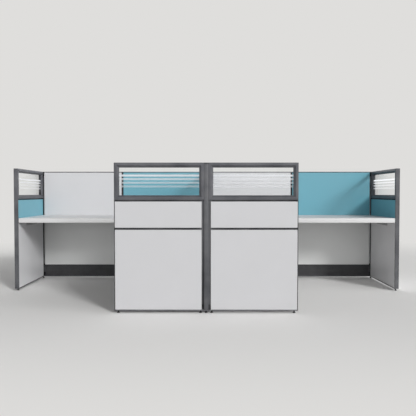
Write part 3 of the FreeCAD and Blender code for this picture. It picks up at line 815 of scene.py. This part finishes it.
# Near-black painted shade on the corner fillers, the frames' darker grey on the front screens' covers
for face in covers.data.polygons:
    if face.center.y < 0:
        face.material_index = 2
    elif corner_start < face.center.y < corner_rear and abs(face.center.x) < corner_end:
        face.material_index = 1
piece("top_cap_strips", [strip_mesh(low, high, 2, 1) for low, high in solid_boxes("top_caps")],
      dark_grey_and_seam_shade, ["top_caps"])

# %% [markdown]
# ## Posts and panel frames
# The posts and the tubes of the frames are drawn steel with small corner radii. Their meshes have drilled
# holes, so a merged copy is softened instead of a new block. The tubes are painted darker than the posts,
# near black on the wings and the back wall: painted shade for the seams and corners between the tiles,
# where the tubes show and little light gets in. The base trim below them, the bare strips beside the
# front post and the rear of the wall are grey again.

# %% Posts and panel frames
post_radius = 0.0012
tube_radius = 0.0008
trim_height = 0.009
bare_strip = 0.08
trim_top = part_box("end_covers_and_fillers")[0][2] + trim_height


def keep_inside(mesh, node):
    """Puts back the corners that softening pushed out of the node's box by a few microns."""
    low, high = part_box(node)
    for vertex in mesh.verts:
        vertex.co = [min(max(vertex.co[i], low[i]), high[i]) for i in range(3)]


posts = softened_copy("connector_posts", post_radius)
piece("connector_posts_steel", [posts], panel_grey, ["connector_posts"])

panel_frames = (("front_screen_frames", dark_grey_and_seam_shade, bare_strip), ("wing_frames", seam_shade_black, 0.0),
                ("spine_frames", dark_grey_and_seam_shade, 0.0), ("back_wall_frames", seam_shade_black, 0.0))
for node, finish, bare_width in panel_frames:
    mesh = softened_copy(node, tube_radius)
    keep_inside(mesh, node)
    made = piece(node + "_steel", [mesh], finish, [node])
    made.data.materials.append(panel_grey)
    for face in made.data.polygons:
        rear = face.normal.y > facing and face.center.y > corner_start
        face.material_index = int(rear or face.center.z < trim_top or abs(face.center.x) < bare_width / 2)

# %% [markdown]
# ## Raceway covers
# A cover is a plastic profile: a thin plate with three square grooves, a hollow flute in each of the four
# bands between them, a lip at the top and a hinge barrel at the foot. An extruder makes it in one go, and
# so does `prism` here: the outline is drawn once and pulled out to length. Each cover rides its own body,
# so it drops open.

# %% Raceway covers
cover_wall = 0.0025
cover_groove_height = 0.006
cover_groove_depth = 0.0016
cover_groove_shares = (0.25, 0.5, 0.75)
barrel_radius = 0.003
barrel_bore = 0.00155
flute_width = 0.006
flute_depth = 0.0014
groove_edge = 0.0003
flute_edge = 0.0002
lip_edge = 0.0008
lip_inner_edge = 0.0006


def cover_face(outer, bottom, top):
    """Corners down the outside of a cover, from its top to its foot."""
    corners = []
    inner = outer + cover_groove_depth
    levels = [bottom + share * (top - bottom) for share in cover_groove_shares]
    half = cover_groove_height / 2
    ends = [bottom + barrel_radius * 1.5] + [level + side * half for level in levels for side in (-1, 1)]
    ends.append(top - cover_wall)
    bands = list(zip(ends[0::2], ends[1::2]))
    for index, (low, high) in reversed(list(enumerate(bands))):
        if index < len(levels):
            level = levels[index]
            corners += [(outer, level + half, groove_edge), (inner, level + half - groove_edge, 0.0),
                        (inner, level - half + groove_edge, 0.0), (outer, level - half, groove_edge)]
        centre = (low + high) / 2
        corners += [(outer, centre + flute_width / 2, flute_edge),
                    (outer + flute_depth, centre + flute_width / 4, flute_edge),
                    (outer + flute_depth, centre - flute_width / 4, flute_edge),
                    (outer, centre - flute_width / 2, flute_edge)]
    return corners


def cover_meshes(low, high):
    outer = low.y
    bottom = low.z + barrel_radius
    back = outer + cover_wall
    inner = high.z - cover_wall
    corners = [(outer, high.z, lip_edge)] + cover_face(outer, bottom, high.z)
    corners += [(outer, bottom, 0.0), (back, bottom, 0.0), (back, inner, lip_inner_edge),
                (high.y, inner, lip_edge), (high.y, high.z, lip_edge)]
    plate = prism(rounded(corners), high.x - low.x)
    plate.transform(Matrix.Translation((low.x, 0.0, 0.0)))
    rim = barrel_radius / 8
    span = high.x - low.x
    outline = ((barrel_bore, 0.0), (barrel_radius - rim, 0.0), (barrel_radius, rim),
               (barrel_radius, span - rim), (barrel_radius - rim, span), (barrel_bore, span))
    barrel = lathe(outline, 24, closed=True)
    lie_down = Matrix.Rotation(math.radians(90.0), 4, "Y")
    barrel.transform(Matrix.Translation((low.x, outer + barrel_radius, bottom)) @ lie_down)
    return [plate, barrel]


for bay in ("inner", "outer"):
    for hand in ("right", "left"):
        node = "raceway_cover_" + bay + "_" + hand
        low, high = node_box(node)
        piece(node + "_profile", cover_meshes(low, high), raceway_plastic, [node], node)

# %% [markdown]
# ## Levelling feet and their sockets
# A foot is turned, so its pad is an outline spun about the stud. Small pockets round the rim give fingers a
# hold, the collar takes a spanner, and the stud carries a real thread: one tooth swept round and up at the
# same time. The construction's foot gives its place and height; the radii and levels are listed below.

# %% Levelling feet
pad_radius = 0.011
pad_height = 0.007
pad_bevel = 0.0015
pad_rim = 0.0008
pad_hollow = 0.0006
pocket_border = 0.00025
pocket_depth = 0.0003
hex_radius = 0.008
hex_height = 0.004
hex_chamfer = 0.0006
stud_radius = 0.005
stud_root = 0.0043
stud_pitch = 0.0015


def pad_mesh():
    corners = ((0.0, pad_hollow), (pad_radius * 0.78, pad_hollow), (pad_radius * 0.84, 0.0),
               (pad_radius - pad_rim, 0.0), (pad_radius - pad_rim * 0.3, pad_rim * 0.3),
               (pad_radius, pad_rim), (pad_radius, pad_height - pad_bevel),
               (pad_radius - pad_bevel * 0.9, pad_height - pad_bevel * 0.1),
               (pad_radius - pad_bevel * 1.3, pad_height), (0.0, pad_height))
    mesh = lathe(corners, 48)
    bmesh.ops.recalc_face_normals(mesh, faces=mesh.faces)
    side = [face for face in mesh.faces if abs(face.normal.z) < 0.01]
    side.sort(key=lambda face: math.atan2(*face.calc_center_median().yx))
    bmesh.ops.inset_individual(mesh, faces=side[::2], thickness=pocket_border, depth=-pocket_depth)
    return mesh


foot_nodes = [node for node in frame["nodes"] if node.endswith("_foot")]
foot_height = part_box(foot_nodes[0])[1][2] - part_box(foot_nodes[0])[0][2]
collar_top = pad_height + hex_height
foot_mesh = gather([pad_mesh(), hexagon_mesh(hex_radius, pad_height, collar_top, hex_chamfer),
                    thread_mesh(stud_root, stud_radius, stud_pitch, collar_top - hex_chamfer, foot_height)])
for node in foot_nodes:
    low, high = node_box(node)
    mesh = foot_mesh.copy()
    stand_on(mesh, low, high)
    piece(node + "_turned", [mesh], foot_nylon, [node], node)

# %% [markdown]
# The socket that the stud turns in is a flanged steel bush with a flat ring on the frame's underside.

# %% Foot sockets
flange_radius = 0.01
flange_height = 0.002
bush_radius = 0.00705
bush_bore = 0.00505
bush_edge = 0.0004

meshes = []
for low, high in solid_boxes("foot_sockets"):
    top = high.z - low.z
    outline = ((bush_bore + bush_edge, 0.0), (flange_radius - bush_edge, 0.0), (flange_radius, bush_edge),
               (flange_radius, flange_height - bush_edge), (flange_radius - bush_edge, flange_height),
               (bush_radius, flange_height), (bush_radius, top - bush_edge), (bush_radius - bush_edge, top),
               (bush_bore, top), (bush_bore, bush_edge))
    mesh = lathe(outline, 32, closed=True)
    stand_on(mesh, low, high)
    meshes.append(mesh)
piece("foot_socket_bushes", meshes, bolt_zinc, ["foot_sockets"])

# %% [markdown]
# ## Screws and bolts
# They hide under the worktops and in the frames, and still look right when someone turns the part over. The
# box of each one gives its axis, and the wide end of its points tells where its head is. A pan head is an
# outline spun round, with a cross pressed into it. Bolts and nuts have chamfered hexagons.

# %% Screws and bolts
screw_radius = 0.0025
screw_root = 0.0018
screw_pitch = 0.0018
head_radius = 0.005
head_height = 0.0025
cross_steps = 24
cross_long = 0.0021
cross_short = 0.0008
cross_depth = 0.0014
bolt_radius = 0.004
bolt_root = 0.0033
bolt_pitch = 0.00125
bolt_head_radius = 0.007
bolt_head_height = 0.005
nut_radius = 0.0075
nut_height = 0.006
nut_chamfer = 0.0005


def turn_to(way):
    return Vector((0.0, 0.0, 1.0)).rotation_difference(way).to_matrix().to_4x4()


def seat_of(points, head_height):
    """The move that lays Z along a fastener from its seat, and its length past the seat."""
    low, high = box_of(points)
    size = high - low
    axis = max(range(3), key=lambda i: size[i])
    middle = (low + high) / 2
    widest = max(points, key=lambda point: (point - middle).length_squared - (point - middle)[axis] ** 2)
    forward = 1 if widest[axis] < middle[axis] else -1
    way = Vector((0.0, 0.0, 0.0))
    way[axis] = forward
    seat = middle.copy()
    seat[axis] = (low if forward > 0 else high)[axis] + forward * head_height
    return Matrix.Translation(seat) @ turn_to(way), size[axis] - head_height


def screw_meshes(length):
    """A pan-head screw on Z, its seat at the origin."""
    outline = ((head_radius, 0.0), (head_radius, -head_height * 0.3),
               (head_radius * 0.9, -head_height * 0.62), (head_radius * 0.7, -head_height * 0.88),
               (head_radius * 0.48, -head_height))
    mesh = lathe(outline, cross_steps)
    bmesh.ops.holes_fill(mesh, edges=mesh.edges[:], sides=cross_steps)
    bmesh.ops.recalc_face_normals(mesh, faces=mesh.faces)
    top = min(mesh.faces, key=lambda face: face.calc_center_median().z)
    bmesh.ops.inset_region(mesh, faces=[top], thickness=head_radius * 0.04)
    for vertex in top.verts:
        turn = math.degrees(math.atan2(vertex.co.y, vertex.co.x)) % 90.0
        reach = cross_long if min(turn, 90.0 - turn) < 8.0 else cross_short
        vertex.co.xy = vertex.co.xy.normalized() * reach
    sunk = bmesh.ops.extrude_discrete_faces(mesh, faces=[top])["faces"][0]
    bmesh.ops.translate(mesh, vec=(0.0, 0.0, cross_depth), verts=sunk.verts)
    return [mesh, thread_mesh(screw_root, screw_radius, screw_pitch, 0.0, length, 12)]


def bolt_or_nut(length):
    """A hexagon bolt on Z, its seat at the origin, or a nut where there is no length."""
    if not length:
        return [hexagon_mesh(nut_radius, 0.0, nut_height, nut_chamfer)]
    half = length / 2
    shank = lathe(((0.0, 0.0), (bolt_radius, 0.0), (bolt_radius, half), (0.0, half)), 24)
    return [hexagon_mesh(bolt_head_radius, -bolt_head_height, 0.0, nut_chamfer), shank,
            thread_mesh(bolt_root, bolt_radius, bolt_pitch, half, length, 16)]


def fastened(node, head, make):
    """Copies of the fastener that `make` draws for a length, moved to where a node's solids are."""
    patterns = {}
    meshes = []
    for points in solids(node):
        low, high = box_of(points)
        size = high - low
        if max(size) > 3 * nut_height or head < bolt_head_height:
            move, length = seat_of(points, head)
        else:
            thin = min(range(3), key=lambda i: size[i])
            way = Vector([float(i == thin) for i in range(3)])
            move = Matrix.Translation((low + high) / 2 - way * nut_height / 2) @ turn_to(way)
            length = 0.0
        key = round(length, 5)
        if key not in patterns:
            patterns[key] = gather(make(length))
        mesh = patterns[key].copy()
        mesh.transform(move)
        meshes.append(mesh)
    return meshes


screws = fastened("worktop_screws", head_height, screw_meshes)
piece("worktop_screw_set", screws, screw_zinc, ["worktop_screws"])
bolts = fastened("frame_bolts", bolt_head_height, bolt_or_nut)
piece("frame_bolt_set", bolts, bolt_zinc, ["frame_bolts"])

# %% [markdown]
# ## Panes, seals and frosted bands
# The pane is a plate whose sharp arris is ground off. The rubber strip round it gets a soft lip, and each
# band of film keeps its own thin edge, which catches the light when one looks along the glass.

# %% Panes, seals and frosted bands
arris = 0.0006
lip_radius = 0.0004
film_edge = 0.0001

for node in ("front_right_glass", "front_left_glass", "wing_and_spine_glass"):
    meshes = [box_mesh(low, high) for low, high in solid_boxes(node)]
    for mesh in meshes:
        soften(mesh, mesh.edges[:], arris, 2)
    piece(node + "_panes", meshes, pane_glass, [node])

piece("glass_seal_strips", [softened_copy("glass_seals", lip_radius)], seal_rubber, ["glass_seals"])

meshes = [box_mesh(low, high) for low, high in solid_boxes("frosted_bands")]
for mesh in meshes:
    soften(mesh, mesh.edges[:], film_edge, 1)
piece("frosted_band_films", meshes, film_white, ["frosted_bands"])

# %% [markdown]
# ## Brackets, cleats and cable trays
# Folded and welded sheet has no sharp edge, so the drilled copies of the brackets and cleats are softened.
# The trays' plates are slotted for cable ties: one cell of a grid loses its middle face, is repeated along
# the plate and then given its thickness.

# %% Brackets, cleats and cable trays
bracket_radius = 0.0007
ear_radius = 0.0004
slot_pitch = 0.05
slot_length = 0.024
slot_share = 0.34
plate_edge = 0.0003

for node in ("cantilever_brackets", "worktop_cleats_and_plates"):
    piece(node + "_sheet", [softened_copy(node, bracket_radius)], finishes[slot_of[node]], [node])


def slotted_plate(low, high):
    """A plate along X with a row of slots through its thinnest side."""
    size = high - low
    thin, wide = (2, 1) if size.z < size.y else (1, 2)
    count = max(int(size.x / slot_pitch), 1)
    cell = size.x / count
    half_slot = size[wide] * slot_share / 2
    across = (-size[wide] / 2, -half_slot, half_slot, size[wide] / 2)
    along = (0.0, (cell - slot_length) / 2, (cell + slot_length) / 2, cell)
    stack = []
    for index in range(count):
        mesh = bmesh.new()
        grid = bmesh.ops.create_grid(mesh, x_segments=3, y_segments=3, size=1.5)["verts"]
        middle = [face for face in mesh.faces if face.calc_center_median().length < 0.1]
        bmesh.ops.delete(mesh, geom=middle, context="FACES_ONLY")
        for vertex in grid:
            place = Vector((0.0, 0.0, 0.0))
            place.x = index * cell + along[round(vertex.co.x + 1.5)]
            place[wide] = across[round(vertex.co.y + 1.5)]
            vertex.co = place
        stack.append(mesh)
    mesh = gather(stack)
    bmesh.ops.remove_doubles(mesh, verts=mesh.verts, dist=weld)
    shift = Vector((0.0, 0.0, 0.0))
    shift[thin] = size[thin]
    draw_out(mesh, shift)
    start = (low + high) / 2
    start.x = low.x
    start[thin] = low[thin]
    bmesh.ops.translate(mesh, vec=start, verts=mesh.verts)
    bmesh.ops.recalc_face_normals(mesh, faces=mesh.faces)
    soften(mesh, sharp_edges(mesh), plate_edge, 1)
    return mesh


plates = [box for box in solid_boxes("raceway_trays") if (box[1] - box[0]).x > slot_pitch]
ears = merged_copy("raceway_trays")
tray_foot = min(low.z for low, high in plates)
above = [vertex for vertex in ears.verts if vertex.co.z > tray_foot - plate_edge]
bmesh.ops.delete(ears, geom=above, context="VERTS")
soften(ears, sharp_edges(ears), ear_radius, 2)
piece("raceway_tray_plates", [slotted_plate(low, high) for low, high in plates] + [ears], tray_grey,
      ["raceway_trays"])

# %% [markdown]
# ## The studio
# A pale floor that keeps the object's shadow near by and fades into the backdrop's colour far off. The
# world adds almost no light: it's there for the gloss, which mirrors a studio with pale walls and a dark
# ceiling, and for the glass, which shows the backdrop.

# %% Floor and world
backdrop = tone(223, 222, 220)
floor_white = (0.835, 0.83, 0.82, 1.0)
floor_reach = 60.0
fade_start = 3.6
fade_end = 6.5
front_fade_start = -1.0
front_fade_end = -3.2
pale_up_to = 0.15
dark_from = 0.7
pale_strength = 0.9
dark_strength = 0.1
mirrored_colour = (0.86, 0.88, 0.95, 1.0)
fill_strength = 0.02

floor_mesh = bmesh.new()
bmesh.ops.create_grid(floor_mesh, x_segments=8, y_segments=8, size=floor_reach)
floor_data = bpy.data.meshes.new("studio_floor")
floor_mesh.to_mesh(floor_data)
floor_mesh.free()
floor = bpy.data.objects.new("studio_floor", floor_data)
bpy.context.scene.collection.objects.link(floor)

paint = new_shader("studio_floor_paint")
away = paint.node("ShaderNodeVectorMath", {"operation": "LENGTH"}, {0: paint.place()}, 1)
fade = paint.share_along(away, fade_start, fade_end, curve="SMOOTHSTEP")
ahead = paint.node("ShaderNodeSeparateXYZ", None, {"Vector": paint.place()}, 1)
front_fade = paint.share_along(ahead, front_fade_start, front_fade_end, 1.0, 0.0, "SMOOTHSTEP")
seen_directly = paint.node("ShaderNodeLightPath", output="Is Camera Ray")
matte = paint.node("ShaderNodeBsdfDiffuse", None, {"Color": floor_white})
glow = paint.node("ShaderNodeEmission", None, {"Color": backdrop, "Strength": 1.0})
keeps_shadow = (1 - fade) * front_fade
blend = paint.overlay((1 - keeps_shadow) * seen_directly, matte, glow)
floor_data.materials.append(paint.finish(blend))

world = bpy.data.worlds.new("studio_world")
bpy.context.scene.world = world
sky = Shader(world)


def backdrop_light(colour, strength):
    return sky.node("ShaderNodeBackground", None, {"Color": colour, "Strength": strength})


def ray(kind):
    return sky.node("ShaderNodeLightPath", output="Is " + kind + " Ray")


way = sky.node("ShaderNodeTexCoord", output="Generated")
height = sky.node("ShaderNodeSeparateXYZ", None, {"Vector": way}, 2)
strength = sky.share_along(height, pale_up_to, dark_from, pale_strength, dark_strength)
mirrored = backdrop_light(mirrored_colour, strength)
backcloth = backdrop_light(backdrop, 1.0)
unlit = sky.overlay(ray("Glossy"), backdrop_light(white, fill_strength), mirrored)
through = sky.overlay(ray("Transmission"), unlit, backcloth)
sky.finish(sky.overlay(ray("Camera"), through, backcloth), "World")
print("floor fades from", fade_start, "to", fade_end, "m")

# %% [markdown]
# The key stands 37 degrees to the viewer's right and 26 degrees up. The wing's shadow on the wall beside
# it and the worktop's shadow on the wall below it show that. Wide, weak lamps stand for the studio's
# softboxes: most of their light comes from the front and the right, so the left side stays deeper. Two low
# ones behind the wall keep its rear readable.

# %% Lamps
def lamp(name, azimuth, elevation, spread, strength):
    """A distant lamp; azimuth 0 is behind the viewer and grows to the viewer's right."""
    data = bpy.data.lights.new(name, "SUN")
    data.energy = strength
    data.angle = math.radians(spread)
    made = bpy.data.objects.new(name, data)
    side = math.radians(azimuth)
    up = math.radians(elevation)
    way = Vector((math.sin(side) * math.cos(up), -math.cos(side) * math.cos(up), math.sin(up)))
    made.rotation_euler = way.to_track_quat("Z", "Y").to_euler()
    bpy.context.scene.collection.objects.link(made)
    return made


lamp("key", 37.0, 26.0, 13.0, 1.8)
lamp("soft_front", 0.0, 15.0, 40.0, 0.38)
lamp("soft_front_right", 30.0, 15.0, 50.0, 0.47)
lamp("soft_front_left", -30.0, 15.0, 50.0, 0.43)
lamp("soft_right", 60.0, 30.0, 40.0, 0.6)
lamp("soft_right_low", 90.0, 15.0, 50.0, 1.1)
lamp("soft_left_low", -90.0, 15.0, 50.0, 0.25)
lamp("soft_left_high", -90.0, 45.0, 60.0, 0.15)
lamp("soft_back_left", -150.0, 22.0, 60.0, 0.4)
lamp("soft_back_right", 150.0, 22.0, 60.0, 0.5)

# %% [markdown]
# The camera stands 3.86 m in front of the screens and 0.96 m up, level with the window units. It looks
# down by less than two degrees.

# %% Camera
frame_pixels = 416
focal_pixels = 482.87
sensor = 36.0
lens_back = 3.8584
camera_x = 0.0211
camera_height = 0.9613
camera_pitch = 0.0295
camera_yaw = 0.0017
front_y = cad_bounds[0][1]

camera_data = bpy.data.cameras.new("viewer")
camera_data.sensor_width = sensor
camera_data.lens = sensor * focal_pixels / frame_pixels
camera = bpy.data.objects.new("viewer", camera_data)
camera.location = (camera_x, front_y - lens_back, camera_height)
camera.rotation_euler = (math.pi / 2 - camera_pitch, 0.0, camera_yaw)
bpy.context.scene.collection.objects.link(camera)
bpy.context.scene.camera = camera
bpy.context.scene.view_settings.view_transform = "Standard"
print("lens", round(camera_data.lens, 2), "mm")
